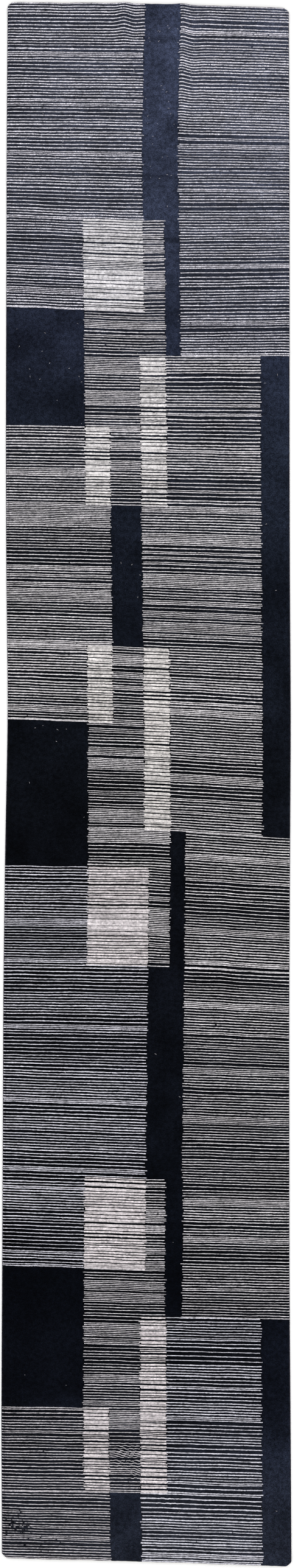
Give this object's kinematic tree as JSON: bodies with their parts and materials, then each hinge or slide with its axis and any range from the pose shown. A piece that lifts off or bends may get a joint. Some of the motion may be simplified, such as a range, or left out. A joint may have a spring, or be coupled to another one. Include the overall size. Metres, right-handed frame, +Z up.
{
  "type": "runner rug",
  "caption": "Long narrow hand-knotted pile rug with thin ivory knot rows crossing a navy ground in overlapping rectangles, overcast sides and turned-under ends.",
  "frame": {"origin": "middle of the rug's underside, on the floor plane", "axes": "+Y along the rug towards its head end, +X across it towards the side whose lower half is striped to the edge, +Z up out of the pile"},
  "size_m": [0.8098, 4.4008, 0.0124],
  "materials": {
    "pile_navy": "cut wool pile, deep navy, matt with a slight nap sheen",
    "pile_striped": "cut wool pile, single ivory knot rows on navy",
    "pile_dense": "cut wool pile, ivory knot rows set close together on navy",
    "foundation_cotton": "undyed cotton warp and weft, matt",
    "warp_cord": "undyed cotton cord, matt",
    "selvedge_wool": "dark wool yarn wrapped closely, matt",
    "end_web_cotton": "plain-woven undyed cotton, matt",
    "sewing_cotton": "waxed cotton sewing thread"
  },
  "bodies": {
    "root": {"end_web_foot": "end_web_cotton", "end_web_head": "end_web_cotton", "foundation": "foundation_cotton", "hem_thread_foot": "sewing_cotton", "hem_thread_head": "sewing_cotton", "pile_dense_block_centre": "pile_dense", "pile_dense_block_foot": "pile_dense", "pile_dense_block_head": "pile_dense", "pile_dense_left_centre": "pile_dense", "pile_dense_left_foot": "pile_dense", "pile_dense_left_upper": "pile_dense", "pile_dense_right_centre": "pile_dense", "pile_dense_right_foot": "pile_dense", "pile_dense_right_upper": "pile_dense", "pile_navy_block_centre": "pile_navy", "pile_navy_block_foot": "pile_navy", "pile_navy_block_head": "pile_navy", "pile_navy_border_foot": "pile_navy", "pile_navy_border_upper": "pile_navy", "pile_navy_column_foot": "pile_navy", "pile_navy_column_head": "pile_navy", "pile_navy_column_lower": "pile_navy", "pile_navy_column_upper": "pile_navy", "pile_striped_left_foot": "pile_striped", "pile_striped_left_head": "pile_striped", "pile_striped_left_lower": "pile_striped", "pile_striped_left_upper": "pile_striped", "pile_striped_middle_centre": "pile_striped", "pile_striped_middle_foot": "pile_striped", "pile_striped_middle_head": "pile_striped", "pile_striped_right_foot": "pile_striped", "pile_striped_right_head": "pile_striped", "pile_striped_right_lower": "pile_striped", "pile_striped_right_upper": "pile_striped", "selvedge_core_left": "warp_cord", "selvedge_core_right": "warp_cord", "selvedge_overcast_left": "selvedge_wool", "selvedge_overcast_right": "selvedge_wool"}
  },
  "joints": []
}
